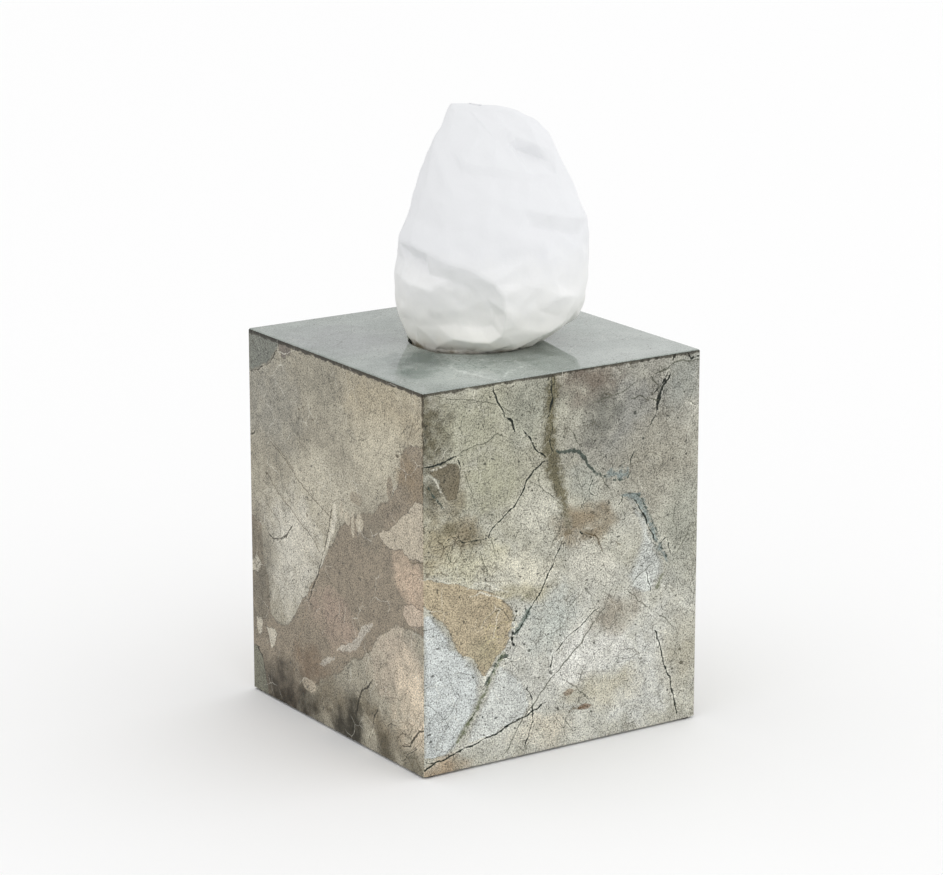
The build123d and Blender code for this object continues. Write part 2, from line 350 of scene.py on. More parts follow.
# What is drawn on each face, from the bottom layer up: the kind of mask, its tone, its share, and the mask's
# own values. Ovals give their middle, across and up, and their half sizes.
FRONT_LAYERS = [
    ("cloud", (163, 161, 144), 0.9, -25, 122, 62, 48),
    ("cloud", (146, 144, 135), 0.95, 36, 128, 46, 40),
    ("cloud", (193, 193, 185), 0.9, 0, 34, 85, 44),
    ("cloud", (158, 157, 138), 0.8, -42, 138, 26, 18),
    ("cloud", (148, 149, 136), 0.8, -17, 141, 14, 16),
    ("cloud", (160, 159, 138), 0.8, -32, 113, 16, 14),
    ("cloud", (146, 149, 142), 0.7, 58, 142, 14, 14),
    ("cloud", (140, 140, 134), 0.80, 30, 128, 13, 20),
    ("stain", (88, 82, 61), 0.85, -66, 142, 17, 25),
    ("cloud", (115, 106, 95), 0.95, 9, 147, 18, 13),
    ("cloud", (110, 110, 102), 0.8, 15, 134, 12, 9),
    ("cloud", (159, 155, 140), 0.7, 47, 110, 26, 24),
    ("cloud", (150, 151, 139), 0.8, 58, 80, 16, 26),
    ("cloud", (160, 152, 127), 0.9, -58, 95, 19, 16),
    ("cloud", (134, 122, 99), 0.7, -45, 96, 9, 8),
    ("cloud", (126, 118, 98), 0.7, -53, 113, 12, 11),
    ("stain", (78, 73, 56), 0.85, -64, 115, 7, 9),
    ("stain", (108, 100, 78), 0.8, -42, 92, 8, 7),
    ("stain", (106, 100, 78), 0.7, -52, 99, 8, 6),
    ("cloud", (198, 194, 169), 0.8, -43, 83, 18, 9),
    ("cloud", (196, 194, 180), 0.8, -11, 97, 17, 15),
    ("cloud", (210, 206, 188), 0.75, -20, 76, 20, 8),
    ("cloud", (172, 165, 138), 0.7, -22, 68, 18, 5),
    ("cloud", (134, 120, 97), 0.85, 9, 90, 15, 10),
    ("cloud", (170, 172, 161), 0.7, 10, 108, 9, 11),
    ("cloud", (183, 188, 181), 0.75, -8, 55, 18, 14),
    ("cloud", (218, 217, 210), 0.8, 12, 38, 22, 16),
    ("cloud", (204, 205, 200), 0.7, 38, 22, 22, 18),
    ("cloud", (204, 201, 187), 0.7, 14, 72, 16, 12),
    ("cloud", (150, 142, 126), 0.8, 28, 53, 15, 9),
    ("cloud", (183, 178, 159), 0.85, 20, 20, 24, 9),
    ("cloud", (206, 199, 181), 0.8, -10, 8, 20, 8),
    ("cloud", (165, 160, 141), 0.75, 58, 30, 15, 19),
    ("cloud", (160, 140, 114), 0.8, -58, 2, 14, 6),
    ("patch", (196, 201, 200), 0.85, 2.5,
     [(-66, 8), (-66, 66)],
     [(-56, 8), (-51, 10), (-48, 14), (-44, 19), (-41.5, 23), (-39.5, 27), (-39, 34), (-40.5, 41),
      (-43, 44.5), (-47, 47), (-51.5, 51), (-53, 55), (-57, 61), (-61, 66)]),
    ("patch", (200, 203, 199), 0.8, 2.0,
     [(-46, 11), (-44, 16), (-41, 21), (-37.5, 27), (-34, 33), (-31, 39)],
     [(-34, 11.5), (-26, 14.5), (-18, 17), (-15, 21), (-16, 26), (-20, 32), (-28, 39)]),
    ("patch", (175, 161, 134), 0.92, 1.0,
     [(-66, 80), (-66, 75), (-65, 70), (-60.5, 65), (-57, 62), (-55, 60), (-53.5, 57), (-51.5, 52),
      (-50.5, 50), (-48, 47), (-44, 46), (-42, 44), (-40, 40), (-38, 36.5)],
     [(-62, 80), (-56, 78), (-47, 75), (-33, 70), (-27, 65), (-24, 62), (-23.5, 60), (-23.5, 57),
      (-24.5, 52), (-25, 50), (-26.5, 47), (-28, 46), (-31, 44), (-34, 40), (-37, 36.5)]),
    ("cloud", (164, 150, 125), 0.4, -40, 64, 10, 6),
    ("cloud", (148, 142, 118), 0.6, -37, 49, 10, 8),
    ("patch", (108, 100, 82), 0.9, 0.8,
     [(-54.5, 109.5), (-56, 113), (-58, 118), (-62, 122), (-62, 124.3)],
     [(-50, 109.5), (-48.5, 113), (-48, 118), (-48.5, 122), (-50, 124.3)]),
    ("patch", (194, 197, 192), 0.85, 3.0,
     [(38, 57), (31, 61), (30, 66), (34, 72), (36.5, 80), (35, 88), (32, 94), (29, 98)],
     [(43, 57), (45, 60), (48.5, 65), (48, 70), (45.5, 75), (43, 80), (41, 85), (38, 90), (34, 95),
      (31, 98)]),
    ("web", (200, 188, 142), 0.5, 3.5, -31, 55, 9, 12),
    ("web", (72, 62, 46), 0.8, 4.5, -54, 90, 16, 14),
    ("web", (62, 64, 56), 0.75, 4.0, 45, 138, 10, 12),
    ("web", (96, 88, 70), 0.6, 5.0, -36, 73, 14, 7),
    ("web", (82, 88, 84), 0.6, 5.0, 43, 74, 9, 14),
    ("web", (92, 84, 68), 0.5, 6.0, 8, 24, 16, 10),
    ("web", (74, 80, 66), 0.6, 4.5, -27, 42, 8, 8),
    ("web", (70, 74, 66), 0.5, 5.0, 14, 104, 10, 8),
    ("lines", (97, 92, 69), 0.9, 3.4, 7.0, [
        (1.0, [(-6, 154, 4.4), (-6, 146, 4.4), (-6.3, 139, 4.2), (-7, 133, 3.8), (-7, 126, 4.4),
               (-6.5, 121, 5.2), (-5, 115, 5.0), (-3, 108, 4.4), (-1, 103, 3.8), (0.3, 98, 3.2),
               (1.5, 93, 2.6), (2.5, 89, 2.4)]),
    ]),
    ("lines", (126, 136, 133), 0.9, 1.8, 7.0, [
        (2.4, [(19.5, 108.5), (23, 109.5), (26, 107.8), (29, 107.3), (31, 109)]),
        (1.5, [(28.5, 99.5, 1.0), (32, 99.3, 1.4), (34.5, 97, 1.5), (36.5, 94, 1.4), (38.5, 91, 1.3),
               (40, 88, 1.2), (41.5, 85, 1.2), (43, 82, 1.2), (44.5, 79, 1.1), (46.5, 74, 0.9),
               (48.5, 71, 0.8), (50.5, 68, 0.6)]),
    ]),
    ("lines", (72, 92, 84), 0.75, 1.0, 5.0, [
        (1.6, [(-23.5, 51), (-21, 53.5), (-19, 56), (-17, 59), (-15, 61.5)]),
    ]),
    ("lines", (102, 108, 80), 0.9, 1.8, 5.0, [
        (1.4, [(-50, 11.5), (-48, 14), (-45.5, 17.5), (-43.5, 20.5), (-41, 23.5), (-39, 27), (-37, 30.5),
               (-34.5, 34.5), (-33, 37.5), (-31, 40.5), (-29, 43), (-28, 45)]),
        (0.9, [(48.5, 65), (47, 62), (45.5, 59.5), (45, 57)]),
        (0.6, [(-23, 62), (-19, 65), (-15, 67.5), (-11, 69.5)]),
    ]),
    ("lines", (62, 73, 66), 0.9, 0.6, 3.0, [
        (0.7, [(-4, 122.5, 0.7), (-2, 121), (0, 120.7, 1.3), (3, 121, 1.4), (5, 120.6, 1.5), (7, 119.3, 1.5),
               (9, 117, 1.5), (10.5, 115, 1.4), (12.5, 112.5, 1.2), (15, 110), (17, 109), (19.5, 108)]),
        (0.6, [(-64, 118), (-61, 114), (-58, 110), (-55, 106)]),
        (0.45, [(28, 100.5), (32, 101), (35.4, 98.2), (37.6, 94.8), (39.7, 91.6), (41.2, 88.6), (42.7, 85.6),
                (44.2, 82.4), (45.7, 79.4), (47.6, 74.6), (49.5, 71.4), (51.2, 68)]),
        (0.50, [(19, 107), (22, 106.4), (26, 105.6), (29, 105.2), (31.6, 107.4)]),
    ]),
    ("lines", (214, 212, 198), 0.7, 0.6, 1.6, [
        (0.5, [(-63, 121.5), (-60, 119.5), (-58, 116), (-57, 113)]),
        (0.5, [(-62, 123), (-56, 123.7), (-51, 125.2)]),
        (0.9, [(0, 87), (-3, 85), (-6, 82.5)]),
        (0.5, [(-62, 80.5), (-58, 79.5), (-55, 78), (-52, 76.5)]),
        (0.7, [(-46, 73), (-41, 75), (-36, 74), (-31, 71), (-26, 69)]),
        (0.6, [(-44, 70), (-39, 71), (-33, 68.5), (-28, 66.5)]),
        (1.0, [(46, 39.5), (48.5, 39.8), (51, 39.2)]),
        (0.6, [(-21, 4), (-19, 8), (-17.5, 12), (-16, 16), (-16, 22), (-18, 26)]),
    ]),
    ("lines", (48, 62, 50), 0.9, 0.9, 5.0, [
        (1.2, [(-37, 33), (-34.5, 36.5), (-32, 40.5), (-30, 43)]),
        (0.9, [(-30, 43), (-27, 43.2), (-24.5, 42)]),
    ]),
    ("lines", (28, 33, 27), 1.0, 0.5, 2.6, [
        (0.50, [(-23.3, 61.5), (-22.8, 60.5), (-22.6, 59), (-23.6, 56.5), (-24, 54), (-24.3, 51),
                (-24.3, 48.5), (-23.5, 46.8), (-22.5, 45)]),
        (0.80, [(51.5, 150.5), (52.3, 151.5), (53, 154)]),
        (0.60, [(58, 154), (59, 151.5), (60, 150.3), (62, 150.3), (66, 150)]),
        (0.85, [(50.5, 146.5, 0.8), (50, 144.5, 0.7), (48.5, 142.5, 0.7), (47, 140.5), (46, 138.5, 1.2),
                (45, 136.5, 1.3), (44.5, 134.5, 1.2), (43.7, 132.5), (43, 130, 0.8), (42.3, 127.5, 0.6),
                (41, 125.5, 0.5)]),
        (0.55, [(42, 138), (44, 139.5), (47, 142), (49, 146), (50, 148)]),
        (0.60, [(7.5, 88), (9.5, 86.5), (11.5, 84.8), (13.5, 83.8)]),
    ]),
    ("lines", (26, 32, 26), 1.0, 0.35, 1.0, [
        (0.55, [(-34, 154), (-33, 150), (-31.5, 146), (-30, 143), (-28.3, 141), (-28.1, 139.5),
                (-27.8, 138)]),
        (0.60, [(-28.4, 138.6), (-26.4, 138.2), (-24.6, 136), (-24, 133.5), (-23, 131.8)]),
        (0.45, [(-19.5, 133), (-18, 130.5), (-16.5, 129), (-15.5, 127), (-14, 124.5), (-13, 123), (-11, 122),
                (-9.5, 120.5), (-8.5, 119.5)]),
        (0.42, [(-8.5, 118.8), (-10.5, 118), (-13, 116.5), (-15, 115), (-16.5, 113.5), (-18, 112),
                (-18.6, 109.5), (-20, 107.5), (-21.5, 105.5), (-23.5, 103), (-25, 101.8), (-27.5, 100),
                (-30, 97.8), (-33, 96), (-34.5, 94.8), (-35.2, 93), (-36, 92)]),
        (0.32, [(-36, 92), (-40, 91.5), (-44, 92), (-47, 92.2), (-49, 93.5), (-50.5, 94.7), (-52, 95.5)]),
        (0.30, [(-52, 95.5), (-53.5, 94.8), (-55, 93.8)]),
        (0.55, [(-66, 124), (-60, 124.3), (-55, 125), (-52, 126), (-50, 126.7)]),
        (0.40, [(-50, 126.5), (-48.7, 125), (-48.5, 123), (-47.5, 121.5)]),
        (0.50, [(-6.8, 154), (-6.5, 146), (-6, 143), (-6.8, 138), (-8.5, 135.5)]),
        (0.30, [(-5.3, 154), (-5.2, 147), (-5, 141)]),
        (0.36, [(-6.3, 134), (-6.5, 130), (-7, 126), (-6, 123), (-5, 121)]),
        (0.50, [(-66, 6), (-60, 6.2), (-55, 6.8), (-51, 7.8), (-47, 9), (-42, 10), (-37, 11), (-33, 12),
                (-29.5, 12.9), (-27, 14), (-24, 15.2), (-20, 16.2), (-16.5, 17), (-14.5, 18), (-11, 19.5),
                (-8, 20.3)]),
        (0.80, [(-66, 3), (-62, 4.8), (-60, 5.8)]),
        (0.48, [(44.5, 41), (45.5, 39.5), (46, 37), (46.8, 34), (47.7, 31), (48.5, 28), (49.5, 25),
                (50, 22.5), (51, 20.8), (52, 20), (52.7, 17), (53.5, 14), (54, 11), (55, 7.5), (55.8, 4.5),
                (56.5, 0)]),
        (0.42, [(-24.5, 51), (-22.5, 52), (-20.5, 53.5), (-19, 55.5), (-17, 58.5), (-15.5, 60.5), (-14, 62.5),
                (-12, 65), (-10.5, 67.5), (-9.5, 69.5), (-8, 72), (-6.5, 74.5), (-5, 77), (-4, 79),
                (-2, 82.5), (0, 86)]),
        (0.36, [(-6, 32), (-6.2, 35), (-5.5, 37.5), (-5, 39.5), (-4, 40.5)]),
        (0.34, [(-4, 40.5), (-2, 42), (0, 44), (3, 46), (7, 48), (9.5, 50), (12, 52), (15, 54.3), (17, 55),
                (19.5, 55.8)]),
        (0.42, [(-19, 2), (-17.5, 5), (-16.5, 8), (-15.5, 11), (-14.5, 13.5), (-14, 16), (-14.3, 18.5),
                (-14.8, 21), (-14.8, 23.5), (-16, 25.5), (-17.5, 27.5), (-17, 29.5)]),
        (0.40, [(33, 97), (35.5, 93.5), (38, 90), (39.5, 86.5), (41, 83.5), (43, 80.5), (43.5, 77)]),
        (0.36, [(38, 73.5), (38.8, 72), (39.5, 71)]),
        (0.40, [(25.5, 95), (27, 96.8), (28, 98.5), (28.5, 100.3)]),
        (0.34, [(45, 78.5), (46.5, 76.5), (48.5, 78), (50, 79)]),
        (0.34, [(50, 79), (50.5, 76.5), (51, 73), (51.5, 71)]),
        (0.36, [(39.5, 66), (40.5, 63.5), (41.3, 60.5), (42, 57.5), (42.7, 55)]),
        (0.30, [(15, 110), (13.5, 107.5), (12, 105), (12.2, 103), (13.5, 101.5), (15, 100.5)]),
        (0.26, [(12, 104.5), (10.5, 102), (9.5, 100), (8, 97.5), (6.5, 95)]),
        (0.38, [(31, 110), (31.5, 113), (33, 115.5), (34.5, 118)]),
        (0.40, [(-44.5, 19), (-42.5, 21.5), (-40.5, 23.8)]),
        (0.32, [(-30, 42.5), (-27, 42.3), (-25, 41.5), (-23.5, 41)]),
    ]),
    ("lines", (82, 70, 48), 0.85, 0.6, 2.0, [
        (0.50, [(8, 89), (11, 86), (14, 85), (16, 83.5), (17.5, 80.5), (19, 78)]),
        (0.45, [(16, 84), (20, 82.8), (24, 81.5), (25.5, 80.5), (27.5, 79)]),
        (0.80, [(2, 14), (5, 15.5), (8, 15), (12, 15.3)]),
        (0.35, [(-45, 84), (-42.5, 86), (-40, 88)]),
    ]),
    ("lines", (76, 78, 64), 0.85, 0.3, 0.4, [
        (0.35, [(-50, 126.5), (-47, 128), (-44, 129), (-40, 129.8), (-36, 130.5), (-33, 132), (-31.7, 132.4),
                (-30, 131.6), (-27, 131)]),
        (0.28, [(-47, 121), (-45.5, 118), (-44.5, 115), (-43, 111.5), (-42, 108), (-41, 105)]),
        (0.28, [(-62, 152), (-55, 150), (-48, 148.5), (-42, 147.3), (-36, 145.7), (-32.5, 144.7),
                (-30, 143.3), (-26, 141), (-22, 138.8)]),
        (0.29, [(16.5, 109.5), (18.5, 106.5), (21, 103.5), (22.5, 100.5), (24, 96.5)]),
        (0.29, [(1, 131), (4, 127.5), (7, 122.5), (8.5, 120)]),
        (0.28, [(3, 119), (5, 113), (7.5, 106), (9, 99)]),
        (0.29, [(30, 60), (32, 62), (35, 64), (40, 67.5), (44, 70)]),
        (0.29, [(30, 60.5), (31, 59.5), (33, 57.5), (35, 56), (38, 53.5), (40, 51), (42, 50)]),
        (0.29, [(45, 48), (47, 46.5), (50, 44.5), (52, 42), (54, 40)]),
        (0.35, [(-29, 1.5), (-26, 5), (-23.5, 9), (-21.5, 13), (-19.5, 15.5), (-17, 18), (-14, 20.8),
                (-10.5, 25), (-6, 30), (-2, 33), (3, 37.5), (8, 41.5), (11, 45), (13.5, 48), (14.5, 51)]),
        (0.28, [(2, 36), (6, 40), (10.5, 44.5), (14, 49), (17, 52), (20, 54.5)]),
        (0.43, [(42, 145.7), (45, 146.8), (49, 147.5), (52, 149.3), (55, 149.8), (60, 149.3), (66, 148.5)]),
        (0.43, [(40, 137.5), (43, 135.5), (45, 135)]),
        (0.43, [(41, 145), (43, 142), (45, 140)]),
        (0.43, [(31, 138), (33, 137.5), (35, 138.5), (37, 137.8), (39.5, 136)]),
        (0.32, [(12, 138.5), (16, 139), (20, 139.5), (24, 140.2), (27, 141), (31, 142.3), (34, 144)]),
        (0.29, [(-16.5, 112), (-12, 109), (-8, 105.5), (-4, 102.5), (-1.5, 100), (0, 98)]),
        (0.29, [(-1.5, 98), (-1.2, 95), (-1.5, 92), (-3, 89), (-5, 86), (-6.5, 83)]),
        (0.29, [(-34.5, 93), (-33.5, 89), (-32, 85), (-31.5, 82)]),
        (0.36, [(-39.5, 88), (-38, 84), (-36.5, 80), (-35, 76.5)]),
        (0.43, [(-54, 89), (-53, 86), (-52, 84.5)]),
        (0.29, [(53.5, 70.5), (55, 72), (58, 76), (60.5, 79.5), (62.5, 83)]),
        (0.29, [(1, 28), (3, 26), (6, 24), (9, 21.5), (12, 19)]),
        (0.28, [(0, 12.5), (2, 10), (5, 6)]),
        (0.29, [(25, 111), (28, 112), (30.5, 113.5)]),
    ]),
    ("spot", (96, 86, 64), 0.5, 2, 88, 1.9, 1.5),
    ("spot", (96, 84, 62), 0.5, 11, 85.5, 3.2, 2.4),
    ("spot", (124, 102, 78), 0.6, 2.5, 22.5, 2.8, 1.4),
    ("spot", (116, 92, 70), 0.75, 10.5, 15.2, 3.4, 1.5),
    ("spot", (62, 66, 62), 0.8, -31.5, 19, 0.8, 0.7),
    ("spot", (62, 66, 62), 0.8, -37.8, 20.7, 0.7, 0.6),
    ("spot", (56, 62, 54), 0.8, -16, 43.5, 0.9, 0.8),
    ("spot", (74, 70, 56), 0.8, 57.8, 24.8, 1.2, 1.0),
    ("spot", (74, 70, 56), 0.8, 56.8, 31, 0.7, 0.6),
    ("spot", (56, 60, 54), 0.8, 33.5, 132, 0.9, 0.9),
    ("spot", (56, 60, 54), 0.8, 37.3, 121, 0.7, 0.6),
    ("spot", (56, 60, 54), 0.8, -18.8, 46.2, 0.7, 0.6),
    ("spot", (58, 62, 58), 0.8, -61, 41.3, 0.7, 0.6),
    ("spot", (58, 62, 58), 0.8, -62, 14.8, 0.8, 0.6),
    ("spot", (62, 60, 48), 0.8, -42.8, 37.2, 0.7, 0.6),
    ("spot", (66, 64, 52), 0.8, 53, 23.5, 0.7, 0.6),
    ("spot", (70, 74, 66), 0.7, -6, 32.5, 1.1, 0.9),
    ("patch", (44, 42, 35), 0.85, 0.7, [(-66, 151.6), (66, 151.6)], [(-66, 155), (66, 155)]),
    ("patch", (44, 40, 32), 0.85, 0.6, [(-66, 98), (-66, 155)], [(-64.6, 98), (-64.2, 155)]),
]

# Two edges of the left face that are each drawn twice, as a patch's edge and as its crack.
LOW_CORNER = [(52, 0), (54.5, 8), (56, 13), (58, 17), (61, 20), (66, 20.6)]
HIGH_CORNER = [
    (66, 135), (60, 136.5), (57, 137.5), (54, 139.5), (50, 140.5), (47, 143), (44, 146), (41, 150),
]
LEFT_LAYERS = [
    ("cloud", (173, 163, 140), 0.9, -40, 142, 44, 20),
    ("cloud", (188, 181, 161), 0.9, -35, 122, 30, 20),
    ("cloud", (186, 180, 162), 0.9, 12, 98, 34, 18),
    ("cloud", (141, 138, 127), 0.9, 52, 126, 34, 26),
    ("cloud", (142, 137, 122), 0.8, 10, 144, 24, 12),
    ("cloud", (198, 194, 181), 0.95, 33, 66, 30, 32),
    ("cloud", (204, 199, 184), 0.7, 23, 78, 15, 14),
    ("cloud", (152, 146, 130), 0.7, 48, 102, 18, 14),
    ("cloud", (184, 171, 153), 0.9, -46, 42, 26, 18),
    ("cloud", (216, 201, 178), 0.9, -58, 28, 16, 22),
    ("cloud", (122, 113, 95), 0.9, 6, 12, 26, 14),
    ("cloud", (132, 121, 101), 0.85, -38, 10, 16, 12),
    ("patch", (139, 128, 111), 0.95, 1.0,
     [(-66, 57.5), (-57, 57.5), (-50, 57), (-45, 57), (-42, 53.5), (-38, 52), (-33, 49), (-30, 46), (-28, 42),
      (-24, 39.5), (-20, 36), (-14, 34.5), (-9, 31), (-5, 26), (0, 24), (5, 22.5), (10, 19.5), (14, 16),
      (20, 11.5), (25, 9), (28, 6), (30, 2), (33, 0), (66, 0)],
     [(-66, 133), (-60, 132), (-55, 130.5), (-52, 129), (-50, 126), (-49.5, 121), (-48, 116), (-46, 112),
      (-43, 108), (-40, 106), (-37, 104.5), (-33, 102.5), (-32, 100), (-29, 98), (-26, 97.5), (-24, 96.5),
      (-22, 97), (-18, 95), (-12, 92), (-5, 87), (-2, 83), (0, 80), (3, 76.5), (7, 71), (12, 64), (15, 60),
      (19, 56), (21, 52), (25, 49.5), (28, 45), (30, 42), (33, 39), (36, 36), (40, 34.5), (46, 34.5),
      (50, 37), (50.6, 44), (51, 51), (53, 54.5), (55, 58), (55.5, 64), (56, 70), (57, 74), (62, 75.5),
      (66, 75)]),
    ("cloud", (124, 117, 102), 0.7, -28, 92, 14, 10),
    ("cloud", (140, 124, 100), 0.8, -56, 119, 14, 12),
    ("cloud", (162, 144, 128), 0.8, 0, 46, 20, 12),
    ("cloud", (202, 180, 157), 0.85, -56, 77, 12, 13),
    ("cloud", (38, 29, 11), 0.95, 37, 0, 31, 24),
    ("cloud", (121, 103, 83), 0.8, 18, 24, 16, 10),
    ("cloud", (112, 106, 92), 0.9, 59, 50, 12, 30),
    ("patch", (117, 117, 102), 0.9, 0.8, [(52, -2), (66, -2)], LOW_CORNER),
    ("patch", (112, 115, 107), 0.9, 1.5, [*HIGH_CORNER, (39, 153)], [(66, 155), (39, 155)]),
    ("patch", (106, 98, 92), 0.8, 1.0,
     [(41, 150), (40, 148), (37, 145.5), (34, 147.5), (31, 148.5)], [(41, 155), (31, 155)]),
    ("patch", (186, 176, 157), 0.9, 0.7,
     [(-66, 87), (-54.5, 86), (-50, 88.5), (-44, 86.5), (-37, 87), (-34, 89), (-33, 90.8)],
     [(-66, 110.5), (-60, 110.5), (-55, 106), (-50, 102), (-45, 97.5), (-42, 95), (-37, 93.5), (-33, 91)]),
    ("patch", (190, 174, 155), 0.9, 0.6,
     [(-66, 62), (-60, 60), (-56, 59), (-53, 60.5), (-50, 63)],
     [(-66, 68), (-62, 68), (-57, 69.5), (-52, 67), (-50, 64)]),
    ("patch", (196, 189, 172), 0.95, 0.6,
     [(44.5, 29), (47, 24), (49.5, 21), (51, 24), (54, 29.7)],
     [(44.5, 29.4), (47, 30.8), (50, 31), (54, 30)]),
    ("patch", (190, 183, 166), 0.95, 0.6,
     [(56.5, 28), (58.5, 24.5), (60, 25), (61.5, 32)], [(56.5, 32.8), (58.5, 33), (60, 32.8), (61.5, 32.5)]),
    ("patch", (182, 176, 160), 0.9, 0.8,
     [(57.5, 54), (60, 51.5), (66, 50)], [(57.5, 57), (60, 59), (66, 56)]),
    ("lines", (208, 202, 186), 0.85, 1.2, 2.0, [
        (1.0, [(-1, 96, 1.2), (-1, 90, 2.2), (1, 84, 2.0), (4, 78, 1.4), (7, 72, 0.6)]),
    ]),
    ("lines", (182, 175, 162), 0.85, 0.8, 2.4, [
        (1.0, [(-29, 53, 1.2), (-25, 50.5, 1.8), (-20, 46.5, 2.6), (-18, 43, 2.2), (-12, 38.5, 1.9),
               (-6, 37, 1.7), (-1, 35.3, 0.8)]),
        (1.0, [(0, 31.5, 1.2), (5, 29, 1.4), (9, 26.5, 1.5), (12, 25.3, 0.8)]),
        (0.7, [(-46.5, 114), (-44, 110.5), (-41, 107)]),
    ]),
    ("spot", (186, 177, 158), 0.85, -10.5, 91.5, 2.4, 3.0),
    ("spot", (184, 175, 156), 0.85, -19.5, 91.5, 3.2, 4.2),
    ("spot", (188, 179, 160), 0.85, -14.5, 90, 1.5, 5.5),
    ("spot", (188, 179, 160), 0.85, -6, 94, 1.4, 4.0),
    ("spot", (138, 127, 110), 0.85, -41.5, 111, 2.4, 5.0),
    ("spot", (148, 138, 120), 0.7, -17, 101, 5.0, 3.0),
    ("spot", (178, 167, 148), 0.8, 20, 14, 6.0, 3.0),
    ("web", (74, 66, 50), 0.75, 5.0, -56, 12, 15, 15),
    ("web", (86, 78, 62), 0.6, 6.0, -30, 25, 16, 12),
    ("web", (92, 84, 68), 0.5, 6.0, 8, 12, 18, 10),
    ("cloud", (108, 100, 82), 0.8, -25, 15, 11, 10),
    ("cloud", (36, 31, 17), 0.9, -9, 0, 13, 14),
    ("cloud", (42, 38, 24), 0.9, -13, 12, 7, 14),
    ("cloud", (82, 75, 58), 0.8, -38, 3, 10, 10),
    ("stain", (96, 90, 71), 0.75, -58, 3, 10, 7),
    ("lines", (38, 34, 22), 0.9, 0.8, 3.0, [
        (0.6, [(-10, 0, 0.8), (-13.5, 6, 1.2), (-16, 12, 1.3), (-18, 19, 1.2), (-20, 23, 1.4),
               (-24, 25.5, 1.4), (-27, 29, 1.2), (-29, 31, 0.8)]),
    ]),
    ("lines", (46, 41, 29), 0.9, 0.45, 1.2, [
        (0.45, [*HIGH_CORNER, (39, 154)]),
        (0.60, [(66, 108.5), (62, 109.5), (60, 111)]),
        (0.45, LOW_CORNER),
        (0.50, [(0.8, 95), (1.8, 90), (3.5, 85), (5, 80), (6.8, 75), (8.5, 72), (10.5, 67.5), (12, 63.5),
                (14, 60), (16.5, 56), (18.5, 52), (20, 48)]),
        (0.55, [(52, 72), (50.5, 70), (47, 69), (43, 69.5), (39, 71.5), (36, 73), (33, 77), (31.5, 79)]),
        (0.40, [(20, 11.5), (17, 13.4), (15, 14.5)]),
        (0.42, [(-33, 21), (-31, 18), (-29, 14), (-27, 9), (-25.5, 5), (-24, 0)]),
        (0.50, [(-38, 13), (-41, 15.5), (-45, 15.8)]),
        (0.60, [(-49, 9), (-52, 10), (-55, 11), (-57, 13.5), (-60, 17), (-62, 19), (-66, 20.5)]),
        (0.40, [(-48, 2), (-52, 5), (-55, 8), (-60, 10.5)]),
        (0.30, [(-31, 55), (-28, 53.8), (-25, 52)]),
        (0.32, [(-17, 45.5), (-15, 41.5), (-10, 40), (-5, 38.5), (-1, 35.5)]),
    ]),
    ("lines", (88, 80, 62), 0.8, 0.3, 0.4, [
        (0.35, [(50, 110), (45, 108.5), (38, 105), (30, 100.5), (24, 97), (17, 93.8), (10, 91.5), (4, 89.5),
                (-4, 86.7)]),
        (0.29, [(50, 111.2), (45, 109.6), (38, 106.1), (30, 101.6), (24, 98.2)]),
        (0.35, [(54, 97), (51.5, 95.5), (46, 92), (40, 88), (33, 85), (25, 80.5), (17, 77.5), (13, 74.5),
                (10, 72.5)]),
        (0.28, [(55, 84), (50, 81.5), (44, 78), (40, 76)]),
        (0.28, [(30, 116.5), (25, 114), (15, 110.5)]),
        (0.32, [(-31, 34), (-35, 37.5), (-39, 40.5)]),
        (0.32, [(-60, 137), (-62.5, 139), (-66, 140)]),
        (0.32, [(-50, 134), (-52, 136), (-54, 137.5)]),
        (0.38, [(-59.5, 143), (-58, 139.5), (-56.5, 136), (-55, 132)]),
        (0.43, [(-54.5, 86), (-58, 85), (-62, 86.4), (-66, 87)]),
    ]),
    ("lines", (168, 146, 115), 0.55, 0.8, 1.0, [
        (0.40, [(20, 48), (23, 42), (27, 33), (29, 25), (31, 20), (33, 14)]),
    ]),
    ("spot", (96, 86, 66), 0.7, 25.5, 128, 0.9, 0.6),
    ("spot", (96, 86, 66), 0.7, 22.5, 129, 0.8, 0.6),
    ("spot", (96, 86, 66), 0.7, 15, 125.5, 0.9, 0.6),
    ("spot", (96, 86, 66), 0.7, 20, 85.5, 0.7, 0.9),
    ("spot", (84, 74, 57), 0.8, -47, 125, 1.2, 0.7),
    ("spot", (92, 82, 64), 0.7, 51.5, 95.5, 1.1, 0.8),
    ("patch", (38, 34, 27), 0.9, 0.5, [(-66, 151.2), (66, 151.2)], [(-66, 155), (66, 155)]),
    ("patch", (44, 39, 29), 0.85, 0.6, [(-66, 98), (-66, 155)], [(-64.6, 98), (-64.2, 155)]),
]

